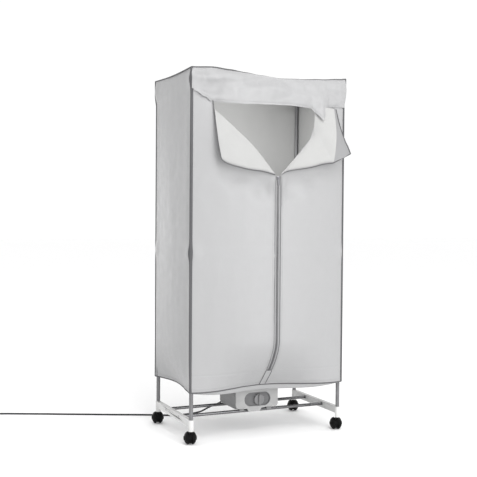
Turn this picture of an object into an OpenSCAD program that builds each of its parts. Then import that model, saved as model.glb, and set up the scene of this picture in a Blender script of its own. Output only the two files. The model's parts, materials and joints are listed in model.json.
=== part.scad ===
// Wardrobe-style heated clothes dryer: tube rack on casters, zip-up fabric cover, fan heater below.
// Origin on the floor midway between the casters. +X right, +Y back, +Z up. Millimetres.

/* [Rack] */
// Distance between post centres, left to right
post_span_x = 654; // [600:1:720]
// Distance between post centres, front to back
post_span_y = 384; // [370:1:400]
// Outside diameter of the upright posts
post_d = 16; // [14:1:19]
// Outside diameter of the rails and base tubes
rail_d = 13; // [11:1:14]
// Tube wall thickness
tube_wall = 1; // [0.8:0.1:1.5]
// Height of the middle connectors
mid_z = 744; // [700:1:800]
// Height of the top rails
top_rail_z = 1418; // [1400:1:1420]
// Side offset of the cross rails from the centre
cross_rail_x = 165; // [120:5:200]

/* [Base] */
// Height of the base tubes
base_tube_z = 88; // [86:1:90]
// Front and back offset of the base tubes
base_tube_y = 75; // [70:1:80]
// Height of the base side bar
base_bar_h = 28; // [24:1:30]
// Thickness of the base side bar
base_bar_t = 16; // [14:1:18]

/* [Casters] */
// Wheel diameter
wheel_d = 50; // [48:1:52]
// Width of one tread
wheel_w = 15; // [12:1:16]
// Trail from swivel axis to axle
caster_trail = 18; // [16:1:20]
// Direction the casters trail in, turned from straight back
caster_turn = 12; // [0:1:90]

/* [Heater] */
// Width of the front panel
heater_w = 190; // [180:1:200]
// Depth from the front panel to the back
heater_d = 200; // [190:1:210]
// Underside height of the case
heater_z = 100; // [100:1:102]
// Shoulder height of the case
shoulder_z = 188; // [180:1:188]
// Radius of the hot air outlet
outlet_r = 72; // [65:1:74]
// Timer knob diameter
knob_d = 44; // [38:1:48]

/* [Cover] */
// Width over the corner edges
cover_w = 680; // [680:1:700]
// Depth over the corner edges
cover_d = 420; // [416:1:430]
// Height at the corners
cover_h = 1455; // [1455:1:1470]
// Height of the lower hem
hem_z = 205; // [200:1:215]
// How far the front and back stand out at mid-height
front_bulge = 65; // [40:1:70]
// How far the sides stand out
side_bulge = 15; // [5:1:20]
// Thickness of the fabric solids
cloth_t = 2; // [1.5:0.1:2]
// Height of the foot of the opening, where the slider rests
slider_z = 1045; // [1000:5:1060]

/* [Cord] */
// Cord diameter
cord_d = 7; // [6:0.5:8]
// Mains pin diameter
pin_d = 4.8; // [4:0.1:4.8]
// Mains pin length
pin_l = 19; // [18:1:19]
// Distance between the mains pins
pin_gap = 19; // [18:1:19]

/* [Hidden] */
$fn = 48;

// Clearances: a tube in its socket, a shaft that turns
slip = 0.05;
post_x = post_span_x / 2;
post_y = post_span_y / 2;
CORNERS = [[-1, -1], [1, -1], [-1, 1], [1, 1]];

// Sockets and connectors
socket_r = 10.5;
socket_low_z = 54;
post_low_z = 72;
socket_top_z = 98;
connector_r = 11;
branch_r = 9.5;
branch_in = 12;
branch_out = 34;
post_top_z = 1436;
connector_top_z = 1446;
stem_r = 4;
stem_low_z = 39;

// Casters
axle_r = 3;
wheel_gap = 13;
web_t = 12;
hub_cap_r = 9.5;
hub_cap_h = 4;
hub_top_z = 52.5;
hub_low_z = 34;

// Heater: sizes shared by its parts
case_wall = 2.5;
panel_t = 8;
split_z = 150;
case_w = heater_w - 4;
panel_y = -heater_d / 2;
back_y = heater_d / 2;
corner_r = 35;
boss_xy = 77;
knob_x = 8;
knob_z = 135;
dial_w = 118;
dial_h = 57;
dial_x = 2;
dial_z = 137;
outlet_top_z = 225;
relief_x = -20;
relief_z = 120;
relief_r = 7;
relief_in_y = 70;
relief_out_y = 96;
case_round = 60;
saddle_x = 62;
saddle_w = 20;

// Cover shape
tuck_z = 350;
front_tuck = 135;
side_tuck_z = 330;
side_tuck = 58;
top_sag = 21;
side_sag = 10;
sill_top_z = 270;
door_top_z = 1330;
valance_low_z = 1338;
zip_half_w = 19;
zip_reveal = 16;
chain_w = 3.5;
zip_y = -cover_d / 2 - front_bulge;

// Cord route from the strain relief to the coil, and the coil beside it
cord_z = 3.6;
ROUTE = [
    [-20, 128, 120], [-20, 146, 117], [-23, 159, 105], [-32, 166, 90], [-48, 168, 77],
    [-68, 168, 69], [-88, 169, 63], [-107, 176, 54], [-127, 192, 39], [-143, 217, 28],
    [-158, 246, 19], [-178, 272, 12], [-204, 297, 6.5], [-235, 318, cord_z],
    [-270, 337, cord_z], [-308, 357, cord_z],
    [-358, 380, cord_z], [-410, 403, cord_z], [-460, 425, cord_z], [-510, 448, cord_z],
    [-565, 474, cord_z], [-618, 498, cord_z], [-670, 522, cord_z], [-722, 547, cord_z],
    [-773, 570, cord_z], [-822, 592, cord_z], [-870, 614, cord_z], [-915, 633, cord_z],
    [-950, 648, cord_z], [-983, 660, cord_z]
];
ring_steps = 3;
tube_sides = 8;
coil_x = -1000;
coil_y = 618.5;
coil_mid_r = 38;
plug_x = coil_x - coil_mid_r - cord_d / 2;
plug_z = 13;
plug_tail_y = 606;
plug_back_y = 580;
plug_face_y = 545;

// ---- Shared shapes ----

module rod_x(r, x0, x1) { translate([x0, 0, 0]) rotate([0, 90, 0]) cylinder(r = r, h = x1 - x0); }
module rod_y(r, y0, y1) { translate([0, y1, 0]) rotate([90, 0, 0]) cylinder(r = r, h = y1 - y0); }

module tube_x(d, x0, x1) {
    difference() {
        rod_x(d / 2, x0, x1);
        rod_x(d / 2 - tube_wall, x0 - 1, x1 + 1);
    }
}

module tube_y(d, y0, y1) {
    difference() {
        rod_y(d / 2, y0, y1);
        rod_y(d / 2 - tube_wall, y0 - 1, y1 + 1);
    }
}

module tube_z(d, z0, z1) {
    translate([0, 0, z0]) difference() {
        cylinder(d = d, h = z1 - z0);
        translate([0, 0, -1]) cylinder(r = d / 2 - tube_wall, h = z1 - z0 + 2);
    }
}

// A flat outline with four round corners, centred
module rounded(w, d, r) {
    square([w - 2 * r, d], center = true);
    square([w, d - 2 * r], center = true);
    for (sx = [-1, 1], sy = [-1, 1]) translate([sx * (w / 2 - r), sy * (d / 2 - r)]) circle(r = r);
}

// A closed sheet: a grid of points, given a thickness along one direction
module cloth(grid, thickness) {
    w = len(grid[0]);
    rows = len(grid);
    n = w * rows;
    skin = [for (row = grid) each row];
    facing = cross(skin[1] - skin[0], skin[w] - skin[0]) * thickness;
    cells = [for (j = [0:rows - 2], i = [0:w - 2]) j * w + i];
    shell = concat(
        [for (a = cells) each [[a, a + 1, a + 1 + w], [a, a + 1 + w, a + w]]],
        [for (a = cells) each [[a + n, a + 1 + w + n, a + 1 + n], [a + n, a + w + n, a + 1 + w + n]]]
    );
    low = [for (i = [0:w - 2]) each [[i + 1, i, i + n], [i + 1, i + n, i + 1 + n]]];
    last = n - w;
    high = [for (i = [0:w - 2]) each [
        [last + i, last + i + 1, last + i + 1 + n], [last + i, last + i + 1 + n, last + i + n]]];
    right = [for (j = [1:rows - 1]) let (b = j * w - 1, c = b + w) each [[c, b, b + n], [c, b + n, c + n]]];
    left = [for (j = [0:rows - 2]) let (a = j * w, d = a + w) each [[a, d, d + n], [a, d + n, a + n]]];
    faces = concat(shell, low, high, right, left);
    polyhedron(
        points = concat(skin, [for (p = skin) p + thickness]),
        faces = facing > 0 ? faces : [for (f = faces) [f[2], f[1], f[0]]]
    );
}

// ---- Rack ----

module base_frame(side) {
    x = side * post_x;
    socket_x = x - side * (base_bar_t / 2 + 1);
    socket_end_x = x - side * (base_bar_t / 2 - 10);
    color("whitesmoke") difference() {
        union() {
            translate([x - base_bar_t / 2, -post_y, base_tube_z - 1 - base_bar_h / 2 - 2])
                cube([base_bar_t, post_span_y, base_bar_h]);
            for (sy = [-1, 1]) translate([x, sy * post_y, socket_low_z])
                cylinder(r = socket_r, h = socket_top_z - socket_low_z);
        }
        for (sy = [-1, 1]) translate([x, sy * post_y, 0]) {
            translate([0, 0, socket_low_z - 1]) cylinder(r = stem_r, h = 30);
            translate([0, 0, post_low_z]) cylinder(r = post_d / 2 + slip, h = 60);
        }
        for (sy = [-1, 1]) translate([0, sy * base_tube_y, base_tube_z]) {
            rod_x(rail_d / 2 + slip, min(socket_x, socket_end_x), max(socket_x, socket_end_x));
            rod_x(2.5, x - base_bar_t, x + base_bar_t);
        }
    }
}
module base_left_frame() { base_frame(-1); }
module base_right_frame() { base_frame(1); }

// Base tubes: hollow, with a solid plug at each end for the screw
base_tube_end = post_x - base_bar_t / 2 + 10;
plug_l = 14;
module base_tube(y) {
    color("dimgray") translate([0, y, base_tube_z]) difference() {
        rod_x(rail_d / 2, -base_tube_end, base_tube_end);
        rod_x(rail_d / 2 - tube_wall, -base_tube_end + plug_l, base_tube_end - plug_l);
        rod_x(2.5, -base_tube_end - 1, -base_tube_end + 12);
        rod_x(2.5, base_tube_end - 12, base_tube_end + 1);
    }
}
module base_front_tube() { base_tube(-base_tube_y); }
module base_rear_tube() { base_tube(base_tube_y); }

module base_screws() {
    face = post_x + base_bar_t / 2;
    color("silver") for (sx = [-1, 1], sy = [-1, 1]) translate([0, sy * base_tube_y, base_tube_z])
        mirror([sx < 0 ? 1 : 0, 0, 0]) {
            rod_x(4.5, face, face + 2.5);
            rod_x(2.5, face - 16, face + 1);
        }
}

module post(sx, sy, z0, z1) {
    color("gray") translate([sx * post_x, sy * post_y, 0]) tube_z(post_d, z0, z1);
}
module lower_post_fl() { post(-1, -1, post_low_z, mid_z); }
module lower_post_fr() { post(1, -1, post_low_z, mid_z); }
module lower_post_rl() { post(-1, 1, post_low_z, mid_z); }
module lower_post_rr() { post(1, 1, post_low_z, mid_z); }
module upper_post_fl() { post(-1, -1, mid_z, post_top_z); }
module upper_post_fr() { post(1, -1, mid_z, post_top_z); }
module upper_post_rl() { post(-1, 1, mid_z, post_top_z); }
module upper_post_rr() { post(1, 1, mid_z, post_top_z); }

// A corner connector: a sleeve on the post and two branches, one for a rail and one for a bar
module connector(sx, sy, low, high, bore_high, branch_z) {
    translate([sx * post_x, sy * post_y, 0])
        mirror([sx > 0 ? 1 : 0, 0, 0]) mirror([0, sy > 0 ? 1 : 0, 0]) difference() {
            union() {
                translate([0, 0, low]) cylinder(r = connector_r, h = high - low);
                translate([0, 0, branch_z]) rod_x(branch_r, 0, branch_out);
                translate([0, 0, branch_z]) rod_y(branch_r, 0, branch_out);
            }
            translate([0, 0, low - 1]) cylinder(r = post_d / 2 + slip, h = bore_high - low + 1);
            translate([0, 0, branch_z]) rod_x(rail_d / 2 + slip, branch_in, branch_out + 1);
            translate([0, 0, branch_z]) rod_y(rail_d / 2 + slip, branch_in, branch_out + 1);
        }
}
module mid_connectors() {
    color("dimgray") for (c = CORNERS) connector(c[0], c[1], mid_z - 20, mid_z + 20, mid_z + 21, mid_z);
}
module top_connectors() {
    color("dimgray") for (c = CORNERS)
        connector(c[0], c[1], top_rail_z - 20, connector_top_z, post_top_z, top_rail_z);
}

LEVELS = [mid_z, top_rail_z];
module side_bars() {
    end = post_y - branch_in;
    color("gray") for (sx = [-1, 1], z = LEVELS) translate([sx * post_x, 0, z]) tube_y(rail_d, -end, end);
}
module edge_rails() {
    end = post_x - branch_in;
    color("gray") for (sy = [-1, 1], z = LEVELS) translate([0, sy * post_y, z]) tube_x(rail_d, -end, end);
}
clip_in = 10;
module cross_rails() {
    end = post_y - clip_in;
    color("gray") for (sx = [-1, 1], z = LEVELS) translate([sx * cross_rail_x, 0, z])
        tube_y(rail_d, -end, end);
}
module rail_clip() {
    difference() {
        union() {
            rod_x(branch_r, -13, 13);
            rod_y(branch_r, 0, 34);
        }
        rod_x(rail_d / 2 + slip, -14, 14);
        rod_y(rail_d / 2 + slip, clip_in, 35);
    }
}
module rail_clips() {
    color("dimgray") for (sx = [-1, 1], sy = [-1, 1], z = LEVELS)
        translate([sx * cross_rail_x, sy * post_y, z]) mirror([0, sy > 0 ? 1 : 0, 0]) rail_clip();
}

// ---- Casters ----

module caster_stems() {
    color("silver") for (c = CORNERS) translate([c[0] * post_x, c[1] * post_y, stem_low_z])
        cylinder(r = stem_r, h = post_low_z - 1 - stem_low_z);
}

// Places a caster part: swivel axis at the origin, trailing along +Y
module at_caster(sx, sy) {
    translate([sx * post_x, sy * post_y, 0]) rotate([0, 0, -caster_turn]) children();
}
module housing(sx, sy) {
    color("black") at_caster(sx, sy) difference() {
        union() {
            translate([0, caster_trail, wheel_d / 2]) rod_x(17, -web_t / 2, web_t / 2);
            translate([-web_t / 2, -4, wheel_d / 2]) cube([web_t, caster_trail, 18]);
            translate([0, 0, hub_top_z - hub_cap_h]) cylinder(r = hub_cap_r, h = hub_cap_h);
            translate([0, 0, hub_low_z])
                cylinder(r = web_t / 2, h = hub_top_z - hub_cap_h + 0.5 - hub_low_z);
        }
        translate([0, 0, stem_low_z - 1]) cylinder(r = stem_r + slip, h = 30);
        translate([0, caster_trail, wheel_d / 2]) rod_x(axle_r + slip, -10, 10);
    }
}
module caster_fl_housing() { housing(-1, -1); }
module caster_fr_housing() { housing(1, -1); }
module caster_rl_housing() { housing(-1, 1); }
module caster_rr_housing() { housing(1, 1); }

module axle(sx, sy) {
    end = wheel_gap / 2 + wheel_w - 2;
    color("silver") at_caster(sx, sy) translate([0, caster_trail, wheel_d / 2]) rod_x(axle_r, -end, end);
}
module caster_fl_axle() { axle(-1, -1); }
module caster_fr_axle() { axle(1, -1); }
module caster_rl_axle() { axle(-1, 1); }
module caster_rr_axle() { axle(1, 1); }

// Wheel section: radius across, axle along; flat tread, domed outer face, blind bore
module wheel_section() {
    r = wheel_d / 2;
    polygon([
        [axle_r, 0], [r - 1, 0], [r, 1], [r, wheel_w * 0.6], [r - 2.5, wheel_w * 0.9],
        [r - 8, wheel_w + 2], [r - 16, wheel_w + 3.5], [0, wheel_w + 4],
        [0, wheel_w - 2], [axle_r, wheel_w - 2]
    ]);
}
module wheels(sx, sy) {
    color("black") at_caster(sx, sy) translate([0, caster_trail, wheel_d / 2]) for (s = [0, 1])
        mirror([s, 0, 0]) translate([wheel_gap / 2, 0, 0]) rotate([0, 90, 0]) rotate_extrude()
            wheel_section();
}
module caster_fl_wheels() { wheels(-1, -1); }
module caster_fr_wheels() { wheels(1, -1); }
module caster_rl_wheels() { wheels(-1, 1); }
module caster_rr_wheels() { wheels(1, 1); }

// ---- Heater ----

// The case's plan as a solid, shrunk by a wall thickness: square in front, round back corners
module case_block(inset, low_z, top_z) {
    w = case_w - 2 * inset;
    front = panel_y + panel_t;
    back = back_y - inset;
    translate([0, 0, low_z]) linear_extrude(top_z - low_z) {
        translate([0, (front + back - corner_r) / 2]) square([w, back - corner_r - front], center = true);
        translate([0, back - corner_r]) square([w - 2 * corner_r, 2 * corner_r], center = true);
        for (sx = [-1, 1]) translate([sx * (w / 2 - corner_r), back - corner_r]) circle(r = corner_r);
    }
}
// The lower case's block, with the back-bottom edge rounded
module bowl(inset, top_z) {
    front = panel_y + panel_t;
    low = heater_z + inset;
    round_r = case_round - inset;
    intersection() {
        case_block(inset, low, top_z);
        rotate([90, 0, 90]) translate([0, 0, -case_w]) linear_extrude(2 * case_w) {
            translate([front - 1, low]) square([back_y - inset - round_r - front + 1, top_z - low]);
            translate([back_y - inset - round_r, low + round_r]) circle(r = round_r, $fn = 96);
        }
    }
}
// Upright cylinders at the four bosses
module at_bosses(r, z0, z1) {
    for (c = CORNERS) translate([c[0] * boss_xy, c[1] * boss_xy, z0]) cylinder(r = r, h = z1 - z0);
}

module heater_lower_case() {
    color("darkgray") difference() {
        union() {
            intersection() {
                bowl(0, split_z);
                union() {
                    difference() {
                        translate([-150, -150, heater_z - 1]) cube([300, 300, 100]);
                        bowl(case_wall, split_z + 5);
                    }
                    at_bosses(6, heater_z - 1, split_z);
                }
            }
            // Saddles that drop over the base tubes
            for (sx = [-1, 1], sy = [-1, 1])
                translate([sx * saddle_x - saddle_w / 2, sy * base_tube_y - saddle_w / 2, base_tube_z])
                    cube([saddle_w, saddle_w, sy < 0 ? 14 : 26]);
        }
        for (sy = [-1, 1]) translate([0, sy * base_tube_y, base_tube_z])
            rod_x(rail_d / 2 + slip, -heater_w, heater_w);
        at_bosses(4.5, heater_z - 20, 118);
        at_bosses(2.2, 117, split_z + 1);
        translate([relief_x, 0, relief_z]) rod_y(relief_r + slip, relief_in_y - 10, back_y + 20);
        // Air inlet slots in the underside
        for (i = [-3:3]) translate([i * 12 - 2, -52, heater_z - 5]) cube([4, 24, 10]);
        for (i = [-3:3]) translate([i * 12 - 2, 30, heater_z - 5]) cube([4, 22, 10]);
    }
}

module heater_upper_case() {
    color("darkgray") difference() {
        union() {
            difference() {
                case_block(0, split_z, shoulder_z);
                case_block(case_wall, split_z - 1, shoulder_z - case_wall);
            }
            at_bosses(6, split_z, shoulder_z - 1);
            translate([0, 0, shoulder_z - 1]) cylinder(r = outlet_r, h = outlet_top_z - shoulder_z + 1);
        }
        translate([0, 0, split_z - 1]) cylinder(r = outlet_r - case_wall, h = outlet_top_z - 3 - split_z + 1);
        // Outlet grille slots
        for (i = [-7:7]) let (half = sqrt(pow(outlet_r - 6, 2) - pow(i * 8.5, 2)))
            translate([i * 8.5 - 2.5, -half, outlet_top_z - 5]) cube([5, 2 * half, 8]);
        at_bosses(2, split_z - 1, 176);
    }
}

module heater_front_panel() {
    color("lightgray") difference() {
        translate([0, panel_y + panel_t, 0]) rotate([90, 0, 0]) linear_extrude(panel_t) {
            translate([0, (heater_z + 2 + shoulder_z) / 2]) rounded(heater_w, shoulder_z - heater_z - 2, 14);
            // Tab that hangs in front of the base tube
            polygon([[-48, heater_z + 6], [-36, 87], [12, 87], [25, heater_z + 6]]);
        }
        translate([dial_x, panel_y + panel_t + 1, dial_z]) rotate([90, 0, 0]) linear_extrude(panel_t + 2)
            rounded(dial_w, dial_h, dial_h / 2 - 0.01);
    }
}

// Oval dish around the knob
dish_floor = 3;
module control_bezel() {
    color("gray") difference() {
        translate([dial_x, panel_y + panel_t, dial_z]) rotate([90, 0, 0]) linear_extrude(panel_t)
            rounded(dial_w - 0.4, dial_h - 0.4, dial_h / 2 - 0.21);
        translate([dial_x, panel_y + panel_t - dish_floor, dial_z]) rotate([90, 0, 0]) linear_extrude(panel_t)
            rounded(dial_w - 7, dial_h - 7, dial_h / 2 - 3.51);
        translate([knob_x, 0, knob_z]) rod_y(3 + slip, panel_y - 1, panel_y + panel_t + 1);
    }
}

knob_back_y = panel_y + panel_t - dish_floor - 0.4;
module timer_knob() {
    color("gray") translate([knob_x, 0, knob_z]) {
        rod_y(knob_d / 2, knob_back_y - 9, knob_back_y);
        translate([-4, knob_back_y - 17, -knob_d / 2 + 2]) cube([8, 9, knob_d - 4]);
        rod_y(3, knob_back_y - 1, panel_y + panel_t + 22);
    }
}
module timer_unit() {
    color("ivory") difference() {
        translate([knob_x - 22, panel_y + panel_t + 0.2, knob_z - 20]) cube([44, 26, 40]);
        translate([knob_x, 0, knob_z]) rod_y(3 + slip, panel_y, panel_y + panel_t + 23);
    }
}

motor_top_z = 140;
module fan_motor() {
    color("silver") difference() {
        union() {
            translate([0, 0, heater_z + case_wall]) cylinder(r = 24, h = motor_top_z - heater_z - case_wall);
            translate([0, 0, heater_z + case_wall]) cylinder(r = 30, h = 3);
        }
        translate([0, 0, 118]) cylinder(r = 3 + slip, h = 40);
    }
}
module fan_impeller() {
    color("white") {
        translate([0, 0, 120]) cylinder(r = 3, h = 32);
        translate([0, 0, 145]) cylinder(r = 15, h = 18);
        for (i = [0:6]) rotate([0, 0, i * 360 / 7]) translate([12, 0, 154]) rotate([28, 0, 0])
            translate([0, -13, -1]) cube([50, 26, 2]);
    }
}
module heating_element() {
    color("tan") {
        translate([0, 0, 170]) difference() {
            translate([-68, -68, 0]) cube([136, 136, 8]);
            translate([-60, -60, -1]) cube([120, 120, 10]);
        }
        for (i = [-2:2]) translate([i * 22 - 4, -61, 171]) cube([8, 122, 6]);
        for (sx = [-1, 1], sy = [-1, 1]) translate([sx * 63, sy * 63, 177])
            cylinder(r = 3.5, h = shoulder_z - case_wall - 177);
    }
}

relief_tip_y = ROUTE[0][1];
module strain_relief() {
    color("black") translate([relief_x, 0, relief_z]) {
        rod_y(relief_r, relief_in_y, relief_out_y);
        translate([0, relief_out_y - 1, 0]) rotate([-90, 0, 0])
            cylinder(r1 = relief_r, r2 = cord_d / 2 + 0.9, h = relief_tip_y - relief_out_y + 1);
    }
}
module heater_screws() {
    color("silver") for (sx = [-1, 1], sy = [-1, 1]) translate([sx * boss_xy, sy * boss_xy, 0]) {
        translate([0, 0, 115]) cylinder(r = 4, h = 3);
        translate([0, 0, 117]) cylinder(r = 2, h = 57);
    }
}

// ---- Cover ----

function across(x) = cos(180 * x / cover_w);
function along(y) = cos(180 * y / cover_d);
// Fullness of the cover at a height: whole up to the slider, then rounding in to the top edge
function fullness(z) = z < slider_z ? 1 : sqrt(max(0, 1 - pow((z - slider_z) / (cover_h - 3 - slider_z), 2)));
function below(z, start) = max(0, (start - z) / (start - hem_z));
function front_out(x, z) =
    front_bulge * across(x) * fullness(z) - front_tuck * below(z, tuck_z) * pow(across(x), 2);
function side_out(y, z) =
    side_bulge * along(y) * fullness(z) - side_tuck * below(z, side_tuck_z) * pow(along(y), 2);
// Drop of the upper edge between the corners
function settled(z, drop) = z - drop * max(0, (z - 1250) / (cover_h - 1250));

function steps(a, b, n) = [for (i = [0:n]) a + (b - a) * i / n];
PANEL_Z = [hem_z, 270, tuck_z, 600, 850, slider_z, 1150, 1250, 1350, 1415, cover_h - 6];

module cover_back() {
    edge = cover_w / 2 - 1;
    color("silver") cloth(
        [for (z = PANEL_Z) [for (x = steps(-edge, edge, 8))
            [x, cover_d / 2 + front_out(x, z), settled(z, top_sag * across(x))]]],
        [0, -cloth_t, 0]
    );
}

module cover_side(side) {
    color("silver") cloth(
        [for (z = PANEL_Z) [for (y = steps(-cover_d / 2 + 6, cover_d / 2 - 3, 6))
            [side * (cover_w / 2 + side_out(y, z)), y, settled(z, side_sag * along(y))]]],
        [-side * cloth_t, 0, 0]
    );
}
module cover_left() { cover_side(-1); }
module cover_right() { cover_side(1); }

module cover_top() {
    color("silver") cloth(
        [for (y = steps(-cover_d / 2, cover_d / 2, 6)) [for (x = steps(-cover_w / 2, cover_w / 2, 8))
            [x, y, cover_h - top_sag * across(x) - side_sag * along(y) * (1 - across(x))]]],
        [0, 0, -cloth_t]
    );
}

// Floor of the cover, drawn in at the middle of each edge, with the hole for the hot air and open
// corners where the posts pass
module cover_bottom() {
    half_w = cover_w / 2 - 3;
    half_d = cover_d / 2 - 3;
    notch_w = 40;
    notch_x = post_x + 10;
    notch_y = post_y + 10;
    color("silver") difference() {
        cloth(
            [for (v = steps(-1, 1, 6)) [for (u = steps(-1, 1, 8))
                [
                    u * (half_w - (side_tuck - side_bulge) * pow(cos(90 * v), 2)),
                    v * (half_d - (front_tuck - front_bulge) * pow(cos(90 * u), 2)),
                    hem_z - 3 - 11 * cos(90 * u) * cos(90 * v)
                ]]],
            [0, 0, -1.5]
        );
        translate([0, 0, hem_z - 40]) cylinder(r = outlet_r + 5, h = 60);
        for (c = CORNERS) translate([c[0] * notch_x, c[1] * notch_y, hem_z])
            cube([notch_w, notch_w, notch_w], center = true);
    }
}

module cover_front_sill() {
    edge = cover_w / 2 - 4;
    color("silver") cloth(
        [for (z = [hem_z, sill_top_z]) [for (x = steps(-edge, edge, 10))
            [x, -cover_d / 2 - front_out(x, z), z]]],
        [0, cloth_t, 0]
    );
}

// Doors: from the corner edge to the zip, and above the slider to the edge of the opening
DOOR_Z = [sill_top_z + 1, tuck_z, 500, 650, 800, 930, slider_z, 1140, 1235, door_top_z];
OPENING = [-1.02, 0.75];
function opening_x(side, z) =
    side * zip_reveal + max(0, z - slider_z) * (side < 0 ? OPENING[0] : OPENING[1]) * 0.93;
function door_point(x, z) = [x, -cover_d / 2 - front_out(x, z), z];

// The part of a door that is turned out over its front, from the edge of the opening to the zip edge
FLAP_CORNER = [[-241, -279, 1105], [326, -275, 1142]];
FLAP_TOP = [[-285, -246, 1322], [286, -240, 1322]];
flap_gap = 5;
function mix(a, b, t) = a + (b - a) * t;
module turned_flap(side) {
    i = side < 0 ? 0 : 1;
    foot_z = slider_z + 14;
    top_z = side < 0 ? 1295 : 1300;
    foot = door_point(opening_x(side, foot_z), foot_z) - [0, flap_gap, 0];
    head = door_point(opening_x(side, top_z), top_z) - [0, flap_gap, 0];
    edge_foot = foot + [side * 12, -4, -10];
    rows = [for (u = steps(0, 1, 4)) let (
        inner = mix(foot, head, u),
        outer = u < 0.75
            ? mix(edge_foot, FLAP_CORNER[i], u / 0.75)
            : mix(FLAP_CORNER[i], FLAP_TOP[i], (u - 0.75) * 4)
    ) [for (v = steps(0, 1, 4)) mix(inner, outer, v)]];
    cloth(rows, [0, cloth_t * 0.75, 0]);
}

module door(side) {
    edge = side * (cover_w / 2 - 4);
    color("silver") {
        cloth(
            [for (z = DOOR_Z) [for (x = steps(edge, opening_x(side, z), 6)) door_point(x, z)]],
            [0, cloth_t, 0]
        );
        turned_flap(side);
    }
}
module door_left() { door(-1); }
module door_right() { door(1); }

module valance() {
    edge = cover_w / 2 - 2;
    color("silver") cloth(
        [for (z = [valance_low_z, 1375, 1410, cover_h - 8]) [for (x = steps(-edge, edge, 10))
            [x, -cover_d / 2 - 4 - front_out(x, z), settled(z, top_sag * across(x))]]],
        [0, cloth_t, 0]
    );
}

// Zip halves: a tape behind the door edge and a row of teeth beside the centre line, both bending
// under with the front below tuck_z
teeth_gap = 0.15;
zip_low_z = sill_top_z + 3;
zip_shift = (tuck_z - zip_low_z) * front_tuck / (tuck_z - hem_z);
module zip_strip(x0, x1, front, back, top_z) {
    rotate([90, 0, 90]) translate([0, 0, x0]) linear_extrude(x1 - x0) polygon([
        [zip_y + front, top_z], [zip_y + front, tuck_z], [zip_y + front + zip_shift, zip_low_z],
        [zip_y + back + zip_shift, zip_low_z], [zip_y + back, tuck_z], [zip_y + back, top_z]
    ]);
}
module zip_half(side, top_z) {
    color("gray") mirror([side > 0 ? 0 : 1, 0, 0]) {
        zip_strip(teeth_gap, chain_w, -1, 4.2, top_z);
        zip_strip(chain_w - 1, zip_half_w, 2.8, 4, top_z - 0.5);
    }
}
slider_l = 16;
module zip_left() { zip_half(-1, slider_z); }
module zip_right() { zip_half(1, slider_z - slider_l - 1); }

// Slider: a saddle over the teeth, with a lug that carries the pull on a cross pin
lug_y = zip_y - 5.5;
pull_pin_z = slider_z - 6;
module zip_slider() {
    color("dimgray") {
        translate([-6, zip_y - 3.2, slider_z - slider_l]) cube([12, 2, slider_l]);
        for (sx = [-1, 1]) translate([sx * 5.1 - 0.9, zip_y - 2, slider_z - slider_l])
            cube([1.8, 4.5, slider_l]);
        for (sx = [-1, 1]) translate([sx * 4.2 - 0.8, lug_y - 1.5, pull_pin_z - 1.5]) cube([1.6, 4.5, 3]);
        translate([0, lug_y, pull_pin_z]) rod_x(0.9, -4, 4);
    }
}
module zip_pull() {
    color("dimgray") difference() {
        union() {
            translate([0, lug_y, pull_pin_z]) rod_x(2, -3, 3);
            translate([-3, lug_y - 0.8, pull_pin_z - 30]) cube([6, 1.6, 30]);
        }
        translate([0, lug_y, pull_pin_z]) rod_x(1, -4, 4);
    }
}

// ---- Cord ----

function spline(a, b, c, d, t) =
    0.5 * (2 * b + (c - a) * t + (2 * a - 5 * b + 4 * c - d) * t * t + (3 * b - a - 3 * c + d) * t * t * t);
last_point = len(ROUTE) - 1;
CENTRES = concat(
    [for (i = [0:last_point - 1], s = [0:ring_steps - 1])
        spline(ROUTE[max(i - 1, 0)], ROUTE[i], ROUTE[i + 1], ROUTE[min(i + 2, last_point)], s / ring_steps)],
    [ROUTE[last_point]]
);
function unit(v) = v / norm(v);
// A ring of points around the route, square to its direction
function ring(i) =
    let (
        ahead = unit(CENTRES[min(i + 1, len(CENTRES) - 1)] - CENTRES[max(i - 1, 0)]),
        side = unit(cross(ahead, [0, 0, 1])),
        up = cross(side, ahead)
    )
    [for (k = [0:tube_sides - 1]) let (a = 360 * k / tube_sides)
        CENTRES[i] + cord_d / 2 * (cos(a) * side + sin(a) * up)];
module cord_lead() {
    n = tube_sides;
    rings = len(CENTRES);
    walls = [for (i = [0:rings - 2], k = [0:n - 1]) let (a = i * n + k, b = i * n + (k + 1) % n)
        each [[a, b, b + n], [a, b + n, a + n]]];
    caps = [[for (k = [n - 1:-1:0]) k], [for (k = [0:n - 1]) (rings - 1) * n + k]];
    color("black") polyhedron(
        points = [for (i = [0:rings - 1]) each ring(i)],
        faces = [for (f = concat(walls, caps)) [for (j = [len(f) - 1:-1:0]) f[j]]]
    );
}
module cord_coil() {
    color("black") translate([coil_x, coil_y, 0.1]) rotate_extrude()
        translate([coil_mid_r - cord_d, 0]) square([2 * cord_d, 2 * cord_d]);
}
module plug() {
    color("black") translate([plug_x, 0, plug_z]) {
        rod_y(4.2, plug_back_y - 1, plug_tail_y);
        rod_y(6.5, plug_back_y - 1, plug_back_y + 12);
        translate([0, plug_back_y, 0]) rotate([90, 0, 0]) linear_extrude(plug_back_y - plug_face_y)
            rounded(36, 25, 9);
        for (s = [-1, 1]) translate([s * pin_gap / 2, 0, 0])
            rod_y(pin_d / 2, plug_face_y - pin_l, plug_face_y + 1);
    }
}

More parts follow.
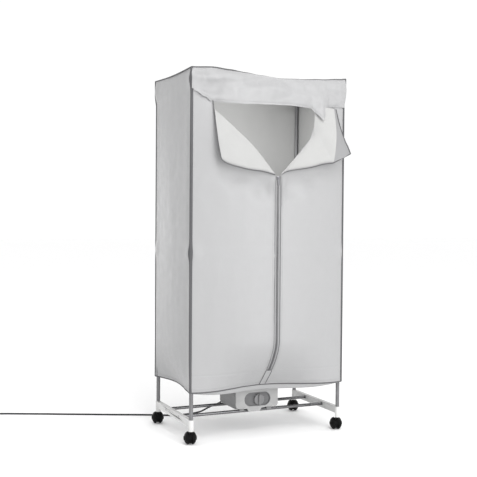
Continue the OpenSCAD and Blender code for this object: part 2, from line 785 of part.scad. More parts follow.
base_left_frame();
base_right_frame();
base_front_tube();
base_rear_tube();
base_screws();
lower_post_fl();
lower_post_fr();
lower_post_rl();
lower_post_rr();
upper_post_fl();
upper_post_fr();
upper_post_rl();
upper_post_rr();
mid_connectors();
top_connectors();
side_bars();
edge_rails();
cross_rails();
rail_clips();
caster_stems();
caster_fl_housing();
caster_fr_housing();
caster_rl_housing();
caster_rr_housing();
caster_fl_axle();
caster_fr_axle();
caster_rl_axle();
caster_rr_axle();
caster_fl_wheels();
caster_fr_wheels();
caster_rl_wheels();
caster_rr_wheels();
heater_lower_case();
heater_upper_case();
heater_front_panel();
control_bezel();
timer_knob();
timer_unit();
fan_motor();
fan_impeller();
heating_element();
strain_relief();
heater_screws();
cover_top();
cover_back();
cover_left();
cover_right();
cover_bottom();
cover_front_sill();
door_left();
door_right();
valance();
zip_left();
zip_right();
zip_slider();
zip_pull();
cord_lead();
cord_coil();
plug();
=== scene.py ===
"""Looks of the heated clothes dryer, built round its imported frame. Metres."""

import json
import math

import bpy
from mathutils import Matrix, Vector, noise


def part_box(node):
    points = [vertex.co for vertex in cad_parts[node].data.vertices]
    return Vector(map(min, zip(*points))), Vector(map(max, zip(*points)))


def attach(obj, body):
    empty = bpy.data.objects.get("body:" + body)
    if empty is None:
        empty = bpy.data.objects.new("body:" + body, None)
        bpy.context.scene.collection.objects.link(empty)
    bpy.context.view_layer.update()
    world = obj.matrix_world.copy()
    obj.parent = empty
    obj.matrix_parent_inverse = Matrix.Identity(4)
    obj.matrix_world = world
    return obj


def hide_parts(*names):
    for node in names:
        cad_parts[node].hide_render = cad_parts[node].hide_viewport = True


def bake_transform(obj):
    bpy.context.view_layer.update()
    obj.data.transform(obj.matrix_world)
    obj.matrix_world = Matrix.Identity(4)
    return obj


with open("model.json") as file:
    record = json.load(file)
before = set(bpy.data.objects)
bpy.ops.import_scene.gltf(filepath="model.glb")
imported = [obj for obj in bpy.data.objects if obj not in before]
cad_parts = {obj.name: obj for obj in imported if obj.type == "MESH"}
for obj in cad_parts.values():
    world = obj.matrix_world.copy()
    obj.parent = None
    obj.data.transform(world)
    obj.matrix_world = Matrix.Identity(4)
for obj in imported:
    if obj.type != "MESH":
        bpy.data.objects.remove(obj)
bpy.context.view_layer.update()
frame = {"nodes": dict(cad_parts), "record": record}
NODE = frame["nodes"]
scene = bpy.context.scene

# ---- Camera, light and floor ----

yaw, pitch, roll = math.radians(24.34), math.radians(1.39), math.radians(0.42)
look = Vector((
    math.sin(yaw) * math.cos(pitch), math.cos(yaw) * math.cos(pitch), -math.sin(pitch),
))
right = Vector((math.cos(yaw), -math.sin(yaw), 0))
up = right.cross(look)
right, up = right * math.cos(roll) + up * math.sin(roll), up * math.cos(roll) - right * math.sin(roll)
camera = bpy.data.objects.new("camera", bpy.data.cameras.new("camera"))
scene.collection.objects.link(camera)
camera.data.sensor_width = 36
camera.data.lens = 66.99
camera.matrix_world = Matrix((
    (right.x, up.x, -look.x, -1.572),
    (right.y, up.y, -look.y, -3.3775),
    (right.z, up.z, -look.z, 0.885),
    (0, 0, 0, 1),
))
scene.camera = camera
scene.view_settings.view_transform = "Standard"


def area_light(name, place, target, size, power):
    lamp = bpy.data.lights.new(name, "AREA")
    lamp.size = size
    lamp.energy = power
    ob = bpy.data.objects.new(name, lamp)
    scene.collection.objects.link(ob)
    ob.location = place
    ob.rotation_mode = "QUATERNION"
    ob.rotation_quaternion = (Vector(target) - Vector(place)).to_track_quat("-Z", "Y")


area_light("key", (0.7, -4.6, 2.4), (0, 0, 0.8), 2.2, 74)
area_light("high_front", (-0.3, -2.4, 3.6), (0, -0.2, 1.2), 1.4, 42)
area_light("low_fill", (0.6, -3.2, 0.35), (0, -0.1, 0.25), 1.2, 22)
area_light("rim", (-1.35, 4.2, 0.8), (-0.34, 0.1, 0.6), 1.1, 16)
area_light("top", (0.2, -0.4, 4.2), (0, 0, 0), 3.0, 6)
glow = bpy.data.lights.new("light_through_the_cover", "POINT")
glow.energy = 5.0
glow.shadow_soft_size = 0.12
glow_at = bpy.data.objects.new("light_through_the_cover", glow)
glow_at.location = (0, -0.08, 1.16)
scene.collection.objects.link(glow_at)
world = bpy.data.worlds.new("studio")
scene.world = world
world.use_nodes = True
world.node_tree.nodes["Background"].inputs["Color"].default_value = (1, 1, 1, 1)
world.node_tree.nodes["Background"].inputs["Strength"].default_value = 1.03

# ---- Materials ----


class Shader:
    """A Principled material whose nodes are added by short calls."""

    def __init__(self, name, color, rough, **sockets):
        self.material = bpy.data.materials.new(name)
        self.material.use_nodes = True
        self.tree = self.material.node_tree
        self.out = self.tree.nodes["Principled BSDF"]
        self.out.inputs["Base Color"].default_value = (*color, 1)
        self.out.inputs["Roughness"].default_value = rough
        for key, value in sockets.items():
            self.out.inputs[key.replace("_", " ")].default_value = value

    def add(self, kind, inputs=(), **props):
        made = self.tree.nodes.new(kind)
        for key, value in props.items():
            setattr(made, key, value)
        for key, value in dict(inputs).items():
            if isinstance(value, bpy.types.NodeSocket):
                self.tree.links.new(value, made.inputs[key])
            else:
                made.inputs[key].default_value = value
        return made

    def put(self, socket, value):
        self.tree.links.new(value, self.out.inputs[socket])

    def coords(self, kind="Object", stretch=(1, 1, 1)):
        source = self.add("ShaderNodeTexCoord").outputs[kind]
        return self.add("ShaderNodeMapping", {"Vector": source, "Scale": stretch}).outputs[0]

    def cloud(self, where, scale, detail=3.0, rough=0.55):
        """Noise from 0 to 1."""
        made = self.add(
            "ShaderNodeTexNoise",
            {"Vector": where, "Scale": scale, "Detail": detail, "Roughness": rough},
        )
        return made.outputs["Fac"]

    def spread(self, value, low, high, start=0.3, end=0.7):
        made = self.add(
            "ShaderNodeMapRange",
            {"Value": value, "From Min": start, "From Max": end, "To Min": low, "To Max": high},
        )
        return made.outputs[0]

    def mix(self, share, a, b):
        made = self.add("ShaderNodeMix", data_type="RGBA")
        for key, value in ((0, share), (6, a), (7, b)):
            if isinstance(value, bpy.types.NodeSocket):
                self.tree.links.new(value, made.inputs[key])
            elif key:
                made.inputs[key].default_value = (*value, 1)
            else:
                made.inputs[key].default_value = value
        return made.outputs[2]

    def bump(self, height, distance, under=None):
        inputs = {"Height": height, "Distance": distance, "Strength": 1.0}
        if under is not None:
            inputs["Normal"] = under
        return self.add("ShaderNodeBump", inputs).outputs[0]


def shade(color, factor):
    return tuple(min(1.0, c * factor) for c in color)


def moulded(name, color, rough, grain=900, depth=0.00006, vary=0.07, wear=0.16, **sockets):
    """Moulded plastic, rubber or paint: faint cloudiness, a fine grain and edges rubbed a little paler."""
    s = Shader(name, color, rough, **sockets)
    where = s.coords()
    clouds = s.cloud(where, 14, 4)
    fine = s.cloud(where, grain, 2)
    tone = s.mix(s.spread(clouds, 0, 1), shade(color, 1 - vary), shade(color, 1 + vary))
    edge = s.add("ShaderNodeNewGeometry").outputs["Pointiness"]
    rubbed = s.mix(s.spread(edge, 0, wear, 0.51, 0.62), tone, shade(color, 1.6))
    s.put("Base Color", rubbed)
    s.put("Roughness", s.spread(s.cloud(where, 40, 5), rough - 0.07, rough + 0.09))
    s.put("Normal", s.bump(fine, depth))
    return s.material


def metal(name, color, rough, along=(1, 1, 1), depth=0.00003, **sockets):
    """Plated, brushed or painted metal with fine scratches along one way and dulled patches."""
    s = Shader(name, color, rough, **sockets)
    lines = s.cloud(s.coords(stretch=along), 260, 3)
    patches = s.cloud(s.coords(), 22, 5, 0.65)
    s.put("Base Color", s.mix(s.spread(patches, 0, 1), shade(color, 0.86), shade(color, 1.12)))
    s.put("Roughness", s.spread(patches, rough - 0.05, rough + 0.12))
    s.put("Normal", s.bump(lines, depth))
    return s.material


def woven(name, color, rough, thread=0.0011, vary=0.05, creases=0.0006, **sockets):
    """Plain weave on UVs in metres: crossing threads, uneven yarn, soft stains and small creases."""
    s = Shader(name, color, rough, **sockets)
    where = s.coords("UV")
    waves = []
    for axis in ("X", "Y"):
        wave = s.add(
            "ShaderNodeTexWave",
            {"Vector": where, "Scale": 0.314 / thread, "Distortion": 0.6, "Detail": 1.0, "Detail Scale": 2.0},
            bands_direction=axis,
        )
        waves.append(wave.outputs["Fac"])
    weave = s.add("ShaderNodeMath", {0: waves[0], 1: waves[1]}, operation="MULTIPLY").outputs[0]
    warp = s.cloud(s.coords("UV", (700, 9, 1)), 1.0, 2)
    weft = s.cloud(s.coords("UV", (9, 700, 1)), 1.0, 2)
    yarn = s.add("ShaderNodeMath", {0: warp, 1: weft}, operation="ADD").outputs[0]
    tone = s.mix(s.spread(yarn, 0, 1, 0.8, 1.2), shade(color, 1 - vary), shade(color, 1 + vary))
    soft = s.mix(s.spread(s.cloud(where, 7, 5), 0, 0.5), tone, shade(color, 1 - 1.6 * vary))
    s.put("Base Color", s.mix(s.spread(weave, 0, 0.25, 0.0, 0.5), shade(color, 0.82), soft))
    s.put("Roughness", s.spread(s.cloud(where, 30, 4), rough - 0.06, rough + 0.08))
    crinkle = s.bump(s.cloud(s.coords("UV", (1, 0.45, 1)), 38, 4, 0.5), creases)
    s.put("Normal", s.bump(weave, 0.00012, crinkle))
    return s.material


FABRIC = woven("silver_cloth", (0.40, 0.40, 0.405), 0.5, Sheen_Weight=0.15, Metallic=0.06)
LINING = woven("pale_lining", (0.45, 0.45, 0.445), 0.7, Sheen_Weight=0.1)
# A darker copy of the silver cloth: painted shade for the turned-back tip of the right flap.
SHADED_TIP_CLOTH = woven("shaded_tip_cloth", (0.30, 0.30, 0.305), 0.55)
BINDING = woven("grey_binding", (0.105, 0.105, 0.11), 0.75, 0.0009, 0.1, 0.0003)
TAPE = woven("zip_tape", (0.33, 0.33, 0.335), 0.75, 0.0008, 0.08, 0.0003)
THREAD = woven("sewing_thread", (0.36, 0.36, 0.365), 0.6, 0.0006, 0.1, 0.0001)
TEETH = moulded("zip_teeth", (0.12, 0.12, 0.125), 0.42, vary=0.15)
MATERIALS = {
    "cover_fabric": FABRIC,
    "zip_tape": TAPE,
    "zip_metal": metal("slider_metal", (0.2, 0.2, 0.21), 0.34, Metallic=0.85),
    "post_tube": metal("grey_powder_coat", (0.17, 0.17, 0.175), 0.38, (1, 1, 0.05), Metallic=0.45),
    "base_tube": metal("dark_plating", (0.16, 0.16, 0.165), 0.24, (0.04, 1, 1), Metallic=0.9),
    "frame_plastic": moulded("white_moulding", (0.58, 0.58, 0.575), 0.42, Specular_IOR_Level=0.3),
    "connector_plastic": moulded("dark_moulding", (0.09, 0.09, 0.095), 0.5),
    "screw_steel": metal("zinc", (0.55, 0.55, 0.55), 0.3, Metallic=0.95),
    "caster_plastic": moulded("black_gloss", (0.004, 0.004, 0.0042), 0.4, Specular_IOR_Level=0.08),
    "caster_wheel": moulded(
        "black_nylon", (0.004, 0.004, 0.0042), 0.42, 500, 0.0001, Specular_IOR_Level=0.09
    ),
    "heater_shell": moulded("mid_grey_shell", (0.23, 0.23, 0.233), 0.5, 1300, Specular_IOR_Level=0.25),
    "heater_panel": moulded(
        "light_grey_panel", (0.335, 0.335, 0.335), 0.45, 1300, Specular_IOR_Level=0.25
    ),
    "bezel_plastic": moulded("dark_bezel", (0.13, 0.13, 0.133), 0.45, 1400, Specular_IOR_Level=0.25),
    "knob_plastic": moulded("knob", (0.17, 0.17, 0.173), 0.42, 1400, Specular_IOR_Level=0.3),
    "timer_plastic": moulded("ivory", (0.62, 0.58, 0.46), 0.5),
    "motor_steel": metal("motor_can", (0.5, 0.5, 0.5), 0.36, (1, 1, 0.1), Metallic=0.9),
    "impeller_plastic": moulded("impeller_white", (0.7, 0.7, 0.69), 0.45),
    "element_metal": metal("element_fins", (0.55, 0.48, 0.38), 0.4, (1, 0.1, 1), Metallic=0.8),
    "cord_rubber": moulded(
        "cord_sheath", (0.022, 0.022, 0.023), 0.5, 700, 0.00008, 0.15, Specular_IOR_Level=0.25
    ),
    "plug_plastic": moulded("plug_rubber", (0.020, 0.020, 0.021), 0.46, 600, 0.0001, 0.15),
}
for part in frame["record"]["subparts"]:
    ob = NODE[part["node"]]
    ob.data.materials.clear()
    ob.data.materials.append(MATERIALS[part["material_slot"]])

# ---- Shared mesh helpers ----

# The cover over its corner edges, and the heights of its hem, zip slider and top corners
HALF_W, HALF_D, HEM, SLIDER_Z, COVER_TOP = 0.34, 0.21, 0.205, 1.045, 1.455
# The upper rows are drawn down to the sagging top edge, from this height over this span
UPPER_Z, UPPER_SPAN = 1.25, 0.205
# The front and back stand out in the middle, and are tucked in below a height
FRONT_BULGE, FRONT_TUCK, FRONT_TUCK_Z, FRONT_TUCK_SPAN = 0.065, 0.135, 0.40, 0.195
# The same for the sides
SIDE_BULGE, SIDE_TUCK, SIDE_TUCK_Z, SIDE_TUCK_SPAN = 0.013, 0.046, 0.36, 0.155
# Post centres in from the corner edges, and the heights of the connectors that press on the cloth
POST_IN_X, POST_IN_Y = 0.013, 0.018
MID_PRESS_Z, TOP_PRESS_Z = 0.744, 1.412


def piece(name, verts, faces, materials, uvs=None, smooth=True):
    mesh = bpy.data.meshes.new(name)
    mesh.from_pydata([tuple(slim(v)) for v in verts], [], faces)
    if uvs is None:
        uvs = [(v[0] + v[1], v[2]) for v in verts]
    layer = mesh.uv_layers.new(name="UVMap")
    for loop in mesh.loops:
        layer.data[loop.index].uv = uvs[loop.vertex_index]
    for m in materials:
        mesh.materials.append(m)
    mesh.polygons.foreach_set("use_smooth", [smooth] * len(mesh.polygons))
    made = bpy.data.objects.new(name, mesh)
    scene.collection.objects.link(made)
    return made


def steps(a, b, n):
    return [a + (b - a) * i / n for i in range(n + 1)]


def ease(t):
    t = max(0.0, min(1.0, t))
    return t * t * (3 - 2 * t)


def slim(p):
    """The cover below its top edge draws in round the posts, most at the corners."""
    if p[2] < 0.17:
        return p
    below = ease((1.39 - p[2]) / 0.04)
    corner = min(1.0, abs(p[0]) / HALF_W) ** 4
    return Vector((p[0] * (1 - 0.0094 * below), p[1] * (1 - 0.031 * below * corner), p[2]))


def along_table(table, x):
    """Smooth value between (x, value) pairs."""
    if x <= table[0][0]:
        return table[0][1]
    for (x0, v0), (x1, v1) in zip(table, table[1:]):
        if x <= x1:
            return v0 + (v1 - v0) * ease((x - x0) / (x1 - x0))
    return table[-1][1]


def curve_point(points, t):
    """Point at share t of a smooth curve through the points."""
    spans = len(points) - 1
    i = min(int(t * spans), spans - 1)
    f = t * spans - i
    p = [Vector(points[max(0, min(spans, k))]) for k in (i - 1, i, i + 1, i + 2)]
    return 0.5 * (
        2 * p[1] + (p[2] - p[0]) * f + (2 * p[0] - 5 * p[1] + 4 * p[2] - p[3]) * f * f
        + (3 * p[1] - p[0] - 3 * p[2] + p[3]) * f ** 3
    )


def ripple(x, z, seed, scale=(7, 7)):
    return noise.noise(Vector((x * scale[0], z * scale[1], seed)))


def grid(name, rows, facing, uv, materials=(FABRIC, LINING), thick=0.0012):
    """A sheet through rows of points, its outer face turned towards facing, with a lining behind it."""
    wide = len(rows[0])
    verts = [p for row in rows for p in row]
    faces = []
    for i in range(len(rows) - 1):
        for j in range(wide - 1):
            a = i * wide + j
            faces.append((a, a + 1, a + wide + 1, a + wide))
    i, j = len(rows) // 2, wide // 2
    across = Vector(rows[i][j]) - Vector(rows[i][j - 1])
    rise = Vector(rows[i][j]) - Vector(rows[i - 1][j])
    if across.cross(rise).dot(Vector(facing)) < 0:
        faces = [f[::-1] for f in faces]
    made = piece(name, verts, faces, materials, [uv(p) for p in verts])
    solid = made.modifiers.new("thickness", "SOLIDIFY")
    solid.thickness = thick
    solid.offset = -1
    solid.material_offset = min(1, len(materials) - 1)
    flat_first = made.modifiers.new("rim_shading", "WEIGHTED_NORMAL")
    flat_first.mode = "FACE_AREA"
    flat_first.weight = 100
    return made


def cord_line(name, points, radius, material, sides=4, order="POLY"):
    """A round strip along points, as a curve."""
    data = bpy.data.curves.new(name, "CURVE")
    data.dimensions = "3D"
    data.bevel_depth = radius
    data.bevel_resolution = sides
    data.use_fill_caps = True
    spline = data.splines.new(order)
    spline.points.add(len(points) - 1)
    for point, place in zip(spline.points, points):
        point.co = (*slim(place), 1)
    spline.use_smooth = True
    data.materials.append(material)
    made = bpy.data.objects.new(name, data)
    scene.collection.objects.link(made)
    return made


def add_part(verts, faces, more_verts, more_faces):
    """Append one mesh's points and faces to another's."""
    faces += [tuple(i + len(verts) for i in face) for face in more_faces]
    verts += more_verts


def place(ob, body, slot=None, nodes=()):
    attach(ob, body)
    if nodes:
        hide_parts(*nodes)
    return ob


# ---- Cord: from the strain relief down to the floor, out of view to the left, and a tied coil ----

ROUTE_MM = [
    (-20, 127, 120), (-20, 146, 117), (-23, 159, 105), (-32, 166, 90), (-48, 168, 77),
    (-68, 168, 69), (-88, 169, 63), (-107, 176, 54), (-127, 192, 39), (-143, 217, 28),
    (-158, 246, 19), (-178, 272, 12), (-204, 297, 6.5), (-235, 318, 3.6), (-270, 337, 3.6),
    (-308, 357, 3.6), (-358, 380, 3.6), (-410, 403, 3.6),
    (-460, 425, 3.6), (-510, 448, 3.6), (-565, 474, 3.6), (-618, 498, 3.6), (-670, 522, 3.6),
    (-722, 547, 3.6), (-773, 570, 3.6), (-822, 592, 3.6), (-870, 614, 3.6), (-915, 633, 3.6),
    (-950, 648, 3.6),
]
CORD_R = 0.0035
COIL = Vector((-1.0, 0.6185, 0))
TURNS = 2.25
coil_points = []
turn_steps = 40
for k in range(int(TURNS * turn_steps) + 1):
    turn = k / turn_steps
    angle = math.radians(90) + turn * 2 * math.pi
    radius = 0.0415 - 0.0072 * ease((turn - 0.8) / 0.4) + 0.0035 * ease((turn - 1.75) / 0.4)
    coil_points.append(COIL + Vector((
        radius * math.cos(angle), radius * math.sin(angle), 0.0036 + 0.0072 * ease((turn - 1.35) / 0.4)
    )))
end = coil_points[-1]
tail = [end + Vector((0, -0.006, 0.0001)), Vector((end.x - 0.001, 0.6085, 0.0118))]
route = [Vector(p) / 1000 for p in ROUTE_MM] + coil_points + tail
fine_route = [curve_point(route, t) for t in steps(0, 1, len(route) * 3)]
cord = cord_line("mains_cord", fine_route, CORD_R, MATERIALS["cord_rubber"], 6)
place(cord, "rack", "cord_rubber", ["cord_lead", "cord_coil"])
tie = cord_line(
    "coil_tie",
    [
        COIL + Vector((0.038 + 0.0095 * math.cos(a), 0.0, 0.0072 + 0.0066 * math.sin(a)))
        for a in steps(0, 2 * math.pi, 24)
    ],
    0.0009,
    MATERIALS["connector_plastic"],
    2,
)
place(tie, "rack", "cord_rubber")

# ---- Cover surfaces ----

TOP_EDGE = [
    (-0.34, 1.455), (-0.25, 1.460), (-0.18, 1.455), (-0.115, 1.448), (-0.05, 1.441), (0.04, 1.435),
    (0.13, 1.438), (0.22, 1.444), (0.31, 1.451), (0.34, 1.455),
]
VALANCE_HEM = [
    (-0.34, 1.375), (-0.325, 1.363), (-0.295, 1.345), (-0.265, 1.325), (-0.16, 1.322), (0.0, 1.326),
    (0.17, 1.322), (0.34, 1.338),
]


def fullness(z):
    if z < SLIDER_Z:
        return 1.0
    return math.sqrt(max(0.0, 1 - ((z - SLIDER_Z) / 0.407) ** 2))


def pressed(h, z):
    """The fabric pushed out by the connectors near a corner, h metres away from them."""
    levels = (
        math.exp(-(((z - MID_PRESS_Z) / 0.026) ** 2)) + math.exp(-(((z - TOP_PRESS_Z) / 0.022) ** 2))
    )
    return 0.006 * math.exp(-((h / 0.022) ** 2)) * levels


def turned_up(z):
    """The doubled hem stands out by its own thickness."""
    return 0.0009 * ease((HEM + 0.0165 - z) / 0.002)


def front_out(x, z, seed=1.0):
    """How far the front or back stands out beyond the corner edges."""
    a = max(0.0, math.cos(math.pi * x / (2 * HALF_W)))
    below = max(0.0, (FRONT_TUCK_Z - z) / FRONT_TUCK_SPAN)
    calm = ease((HALF_W - abs(x)) / 0.05)
    soft = 0.0035 * ripple(x, z, seed, (4, 1.3)) + 0.0013 * ripple(x, z, seed + 5, (17, 6))
    band = (
        -0.0011 * math.exp(-(((z - 0.772) / 0.006) ** 2)) + 0.0009 * math.exp(-(((z - 0.735) / 0.010) ** 2))
    )
    band -= 0.0008 * math.exp(-(((z - 1.235) / 0.006) ** 2))
    hem = 0.0016 * ease((0.33 - z) / 0.12) * ripple(x, z, seed + 2, (26, 5))
    return (
        FRONT_BULGE * a * fullness(z) - FRONT_TUCK * below ** 1.6 * a * a
        + calm * (soft + band + hem) + pressed(HALF_W - abs(x) - POST_IN_X, z) + turned_up(z)
    )


def side_out(y, z, seed=3.0):
    """How far a side stands out beyond the corner edges."""
    b = max(0.0, math.cos(math.pi * y / (2 * HALF_D)))
    below = max(0.0, (SIDE_TUCK_Z - z) / SIDE_TUCK_SPAN)
    calm = ease((HALF_D - abs(y)) / 0.04)
    soft = 0.0035 * ripple(y, z, seed, (5, 1.6)) + 0.0012 * ripple(y, z, seed + 4, (20, 7))
    return (
        SIDE_BULGE * b * fullness(z) - SIDE_TUCK * below ** 1.5 * b * (1 + 0.35 * y / HALF_D)
        + calm * soft + pressed(HALF_D - abs(y) - POST_IN_Y, z) + turned_up(z)
    )


def top_z(x, y):
    share = (y + HALF_D) / (2 * HALF_D)
    front = along_table(TOP_EDGE, x)
    back = COVER_TOP - 0.016 * math.cos(math.pi * x / (2 * HALF_W))
    sag = 0.010 * math.sin(math.pi * share) * (1 - 0.4 * abs(x) / HALF_W)
    edge = ease(min(HALF_W - abs(x), HALF_D - abs(y)) / 0.05)
    return front + (back - front) * ease(share) - sag + 0.003 * edge * ripple(x, y, 9.0, (9, 9))


def squeeze(z, top):
    """Height with the upper rows drawn down to a sagging top edge."""
    return z if z < UPPER_Z else UPPER_Z + (z - UPPER_Z) * (top - UPPER_Z) / UPPER_SPAN


def front_point(x, z, seed=1.0, lift=0.0):
    return Vector((x, -HALF_D - lift - front_out(x, z, seed), z))


SEAM_Z = 0.2705
HEM_ROWS = [HEM, HEM + 0.008, HEM + 0.0145, HEM + 0.0165]
HEIGHTS = (
    HEM_ROWS + steps(HEM + 0.021, 0.40, 15)[:-1] + steps(0.40, SLIDER_Z, 46)[:-1]
    + steps(SLIDER_Z, COVER_TOP, 32)
)
SILL_Z = HEM_ROWS + steps(HEM + 0.021, SEAM_Z + 0.0002, 6)

back = grid(
    "back_panel",
    [
        [
            Vector((x, HALF_D + front_out(x, z, 11.0), squeeze(z, top_z(x, HALF_D))))
            for x in steps(-HALF_W, HALF_W, 60)
        ]
        for z in HEIGHTS
    ],
    (0, 1, 0),
    lambda p: (p.x, p.z),
)
place(back, "rack", "cover_fabric", ["cover_back"])

for side, label in ((-1, "left"), (1, "right")):
    side_panel = grid(
        f"{label}_panel",
        [
            [
                Vector((side * (HALF_W + side_out(y, z, 3.0 + side)), y, squeeze(z, top_z(side * HALF_W, y))))
                for y in steps(-HALF_D, HALF_D, 44)
            ]
            for z in HEIGHTS
        ],
        (side, 0, 0),
        lambda p: (p.y, p.z),
    )
    place(side_panel, "rack", "cover_fabric", [f"cover_{label}"])

top = grid(
    "top_panel",
    [
        [Vector((x, y, top_z(x, y))) for x in steps(-HALF_W, HALF_W, 56)]
        for y in steps(-HALF_D, HALF_D, 36)
    ],
    (0, 0, 1),
    lambda p: (p.x, p.y),
)
place(top, "rack", "cover_fabric", ["cover_top"])


def floor_point(u, v):
    """Floor of the cover: u and v from -1 to 1, meeting the drawn-in hems."""
    x_edge = HALF_W + side_out(HALF_D * v, HEM, 3.0 + (1 if u > 0 else -1)) - 0.002
    y_edge = HALF_D + front_out(HALF_W * u, HEM, 1.0 if v < 0 else 11.0) - 0.002
    x, y = u * x_edge, v * y_edge
    sag = 0.016 * math.cos(math.pi * u / 2) * math.cos(math.pi * v / 2)
    calm = ease((1 - max(abs(u), abs(v))) / 0.15)
    return Vector((x, y, HEM - 0.001 - sag + 0.002 * ripple(x, y, 21.0, (11, 11)) * calm))


def floor_sheet():
    """The floor as rings from the square hem in to the round hole for the hot air."""
    rows = []
    around = 96
    for t in [0, 0.006, 0.015, 0.03, 0.05, 0.075, 0.1, 0.13] + steps(0.18, 1, 11):
        ring = []
        roll = math.sqrt(max(0.0, 1 - (1 - min(1.0, t / 0.13)) ** 2)) * (1 - ease((t - 0.5) / 0.5))
        for k in range(around + 1):
            a = 2 * math.pi * k / around
            c, s = math.cos(a), math.sin(a)
            m = max(abs(c), abs(s))
            u, v = c / m, s / m
            drop = 0.006 + 0.014 * max(0.0, -v) ** 3 * (1 - abs(u) ** 3)
            hole = Vector((0.0775 * c, 0.0775 * s, 0.197))
            ring.append(floor_point(u, v).lerp(hole, t) + Vector((0, 0, -drop * roll)))
        rows.append(ring)
    return rows


bottom = grid("bottom_panel", floor_sheet(), (0, 0, -1), lambda p: (p.x, p.y))
place(bottom, "rack", "cover_fabric", ["cover_bottom"])

sill = grid(
    "front_sill",
    [
        [front_point(x, z) for x in steps(-HALF_W, HALF_W, 60)]
        for z in SILL_Z
    ],
    (0, -1, 0),
    lambda p: (p.x, p.z),
)
place(sill, "rack", "cover_fabric", ["cover_front_sill"])

# ---- Doors, with the part above the slider folded back over the front ----

ZIP_EDGE = 0.0125
DOOR_TOP = 1.385
FOLD = {
    -1: [
        (-0.0125, -0.2755, 1.052), (-0.094, -0.2685, 1.148), (-0.172, -0.2535, 1.223),
        (-0.221, -0.2405, 1.268), (-0.255, -0.2315, 1.300), (-0.262, -0.228, 1.330),
    ],
    1: [
        (0.0125, -0.2755, 1.052), (0.081, -0.2705, 1.123), (0.155, -0.2565, 1.199),
        (0.172, -0.252, 1.245), (0.178, -0.2465, 1.293), (0.18, -0.243, 1.330),
    ],
}
ZIP_RIM = {
    -1: [
        (-0.0125, -0.2775, 1.050), (-0.070, -0.285, 1.0615), (-0.125, -0.286, 1.067),
        (-0.175, -0.285, 1.076), (-0.225, -0.282, 1.090), (-0.245, -0.279, 1.104),
    ],
    1: [
        (0.0125, -0.2775, 1.050), (0.038, -0.283, 1.0655), (0.122, -0.287, 1.080),
        (0.160, -0.285, 1.088), (0.1975, -0.284, 1.098), (0.248, -0.284, 1.105),
    ],
}
LEFT_RIM = [
    (-0.245, -0.279, 1.104), (-0.252, -0.267, 1.162), (-0.255, -0.254, 1.215),
    (-0.257, -0.245, 1.262), (-0.262, -0.231, 1.330),
]
CREASE = [
    (0.248, -0.284, 1.105), (0.256, -0.286, 1.160), (0.2625, -0.280, 1.219),
    (0.266, -0.267, 1.270), (0.268, -0.250, 1.326),
]
RIGHT_RIM = [
    (0.339, -0.270, 1.145), (0.329, -0.264, 1.173), (0.318, -0.2545, 1.202),
    (0.299, -0.243, 1.263), (0.284, -0.237, 1.326),
]


def fold_x(side, z):
    """Where the fold of the opening is, at a height."""
    table = [(p[2], p[0]) for p in FOLD[side]]
    if z <= table[0][0]:
        return side * ZIP_EDGE
    for (z0, x0), (z1, x1) in zip(table, table[1:]):
        if z <= z1:
            return x0 + (x1 - x0) * (z - z0) / (z1 - z0)
    return table[-1][1]


DOOR_Z = (
    steps(SEAM_Z, 0.40, 12)[:-1] + steps(0.40, SLIDER_Z, 60)[:-1] + steps(SLIDER_Z, DOOR_TOP, 34)
)


def door_wrinkle(x, z, side):
    """Puckers of the fabric beside the zip, and pulls that run down from the opening."""
    beside = math.exp(-abs(abs(x) - ZIP_EDGE) / 0.035)
    pucker = 0.0011 * beside * ripple(x, z, 31.0 + side, (6, 34))
    pull = 0.0030 * ease((z - 0.86) / 0.16) * ease((1.10 - z) / 0.05)
    pull *= ripple(x + 0.35 * z, z, 41.0 + side, (15, 5))
    hollow = 0.020 * math.exp(-(((abs(x) - 0.05) / 0.05) ** 2) - ((z - 1.000) / 0.042) ** 2)
    hollow += 0.016 * math.exp(-(((abs(x) - 0.15) / 0.07) ** 2) - ((z - 1.035) / 0.035) ** 2)
    pull -= hollow * ease((abs(x) - ZIP_EDGE) / 0.035)
    return (pucker + pull * ease((HALF_W - abs(x)) / 0.06)) * ease((z - SEAM_Z) / 0.06)


def under_valance(x, z):
    """Height with the upper rows moved to end a little above the valance's hem."""
    if z < UPPER_Z:
        return z
    top = along_table(VALANCE_HEM, x) + 0.002 + 0.022 * ease((HALF_W - abs(x)) / 0.06)
    return UPPER_Z + (z - UPPER_Z) * (top - UPPER_Z) / (DOOR_TOP - UPPER_Z)


def door_panel(side):
    rows = []
    for z in DOOR_Z:
        inner = fold_x(side, z)
        row = []
        for t in steps(0, 1, 30):
            x = side * HALF_W + (inner - side * HALF_W) * t
            p = front_point(x, under_valance(x, z))
            p.y -= door_wrinkle(x, z, side)
            row.append(p)
        rows.append(row)
    return rows


def ruled(inner, outer, rows, columns, bulge, seed, split=None):
    """A sheet between two curves, standing out a little between them."""
    made = []
    for t in steps(0, 1, rows):
        a, b = inner(t), outer(t)
        line = []
        for v in steps(0, 1, columns):
            p = a.lerp(b, v)
            span = min(1.0, (b - a).length / 0.12)
            wrinkle = 0.009 * ripple(p.x, p.z, seed, (13, 13)) * ease(v / 0.15) * ease((1 - v) / 0.12)
            p.y -= (bulge * math.sin(math.pi * v) + wrinkle) * span
            line.append(p)
        made.append(line)
    return made


def left_outer(t):
    return curve_point(ZIP_RIM[-1], t / 0.62) if t < 0.62 else curve_point(LEFT_RIM, (t - 0.62) / 0.38)


def right_middle(t):
    return curve_point(ZIP_RIM[1], t / 0.6) if t < 0.6 else curve_point(CREASE, (t - 0.6) / 0.4)


for side, label in ((-1, "left"), (1, "right")):
    body = f"door_{label}_body"
    panel = grid(f"door_{label}_panel", door_panel(side), (0, -1, 0), lambda p: (p.x, p.z))
    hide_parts(f"door_{label}")
    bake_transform(panel)

